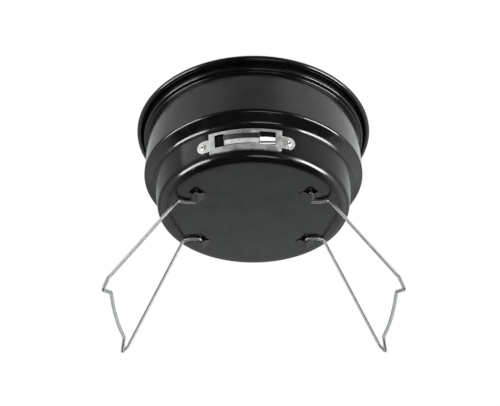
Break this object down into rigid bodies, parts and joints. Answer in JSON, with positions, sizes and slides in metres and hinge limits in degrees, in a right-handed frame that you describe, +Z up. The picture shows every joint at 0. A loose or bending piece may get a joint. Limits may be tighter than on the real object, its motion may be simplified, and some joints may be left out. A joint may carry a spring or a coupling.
{
  "type": "kettle charcoal grill",
  "caption": "Round two-tier black steel bowl on two folding bent-wire legs, with a sliding air vent, a charcoal grate and a lift-off cooking grid.",
  "frame": {"origin": "on the ground, under the axis of the bowl", "axes": "+Z up along the bowl's axis; the air vent faces -Y; the two legs stand to -X and +X"},
  "size_m": [0.3618, 0.34, 0.3013],
  "materials": {
    "black_enamel": "gloss black baked enamel on thin steel sheet",
    "leg_wire": "zinc-plated drawn wire, satin",
    "zinc_plate": "zinc-plated stamped sheet, satin",
    "bright_plate": "bright plated round wire",
    "rivet_pin": "plain dark steel"
  },
  "bodies": {
    "bowl": {"bowl": "black_enamel", "leg_clip_front_left": "black_enamel", "leg_clip_rear_left": "black_enamel", "leg_clip_front_right": "black_enamel", "leg_clip_rear_right": "black_enamel", "vent_frame": "zinc_plate", "rivet_left": "zinc_plate", "rivet_right": "zinc_plate", "rivet_pin_left": "rivet_pin", "rivet_pin_right": "rivet_pin"},
    "left_leg": {"left_leg": "leg_wire"},
    "right_leg": {"right_leg": "leg_wire"},
    "vent_slider": {"vent_slider": "zinc_plate"},
    "charcoal_grate": {"charcoal_grate_ring": "bright_plate", "charcoal_grate_cross_wire_left": "bright_plate", "charcoal_grate_cross_wire_right": "bright_plate", "charcoal_grate_bar_01": "bright_plate", "charcoal_grate_bar_02": "bright_plate", "charcoal_grate_bar_03": "bright_plate", "charcoal_grate_bar_04": "bright_plate", "charcoal_grate_bar_05": "bright_plate", "charcoal_grate_bar_06": "bright_plate", "charcoal_grate_bar_07": "bright_plate", "charcoal_grate_bar_08": "bright_plate", "charcoal_grate_bar_09": "bright_plate", "charcoal_grate_bar_10": "bright_plate", "charcoal_grate_bar_11": "bright_plate", "charcoal_grate_bar_12": "bright_plate", "charcoal_grate_bar_13": "bright_plate"},
    "cooking_grid": {"cooking_grid_ring": "bright_plate", "cooking_grid_cross_wire_left": "bright_plate", "cooking_grid_cross_wire_right": "bright_plate", "cooking_grid_bar_01": "bright_plate", "cooking_grid_bar_02": "bright_plate", "cooking_grid_bar_03": "bright_plate", "cooking_grid_bar_04": "bright_plate", "cooking_grid_bar_05": "bright_plate", "cooking_grid_bar_06": "bright_plate", "cooking_grid_bar_07": "bright_plate", "cooking_grid_bar_08": "bright_plate", "cooking_grid_bar_09": "bright_plate", "cooking_grid_bar_10": "bright_plate", "cooking_grid_bar_11": "bright_plate", "cooking_grid_bar_12": "bright_plate", "cooking_grid_bar_13": "bright_plate", "cooking_grid_bar_14": "bright_plate", "cooking_grid_bar_15": "bright_plate"}
  },
  "joints": [
    {"name": "right_leg_fold", "type": "hinge", "parent": "bowl", "child": "right_leg", "pos_m": [0.0756, 0.0068, 0.15764], "axis": [0, 1, 0], "range_deg": [0, 118]},
    {"name": "left_leg_fold", "type": "hinge", "parent": "bowl", "child": "left_leg", "pos_m": [-0.0756, 0.0068, 0.15764], "axis": [0, -1, 0], "range_deg": [0, 112]},
    {"name": "vent_slide", "type": "hinge", "parent": "bowl", "child": "vent_slider", "pos_m": [0, 0, 0.18524], "axis": [0, 0, 1], "range_deg": [-4.9, 8.2]},
    {"name": "charcoal_grate_lift", "type": "slide", "parent": "bowl", "child": "charcoal_grate", "axis": [0, 0, 1], "range_m": [0, 0.055]},
    {"name": "cooking_grid_lift", "type": "slide", "parent": "bowl", "child": "cooking_grid", "axis": [0, 0, 1], "range_m": [0, 0.08]}
  ]
}
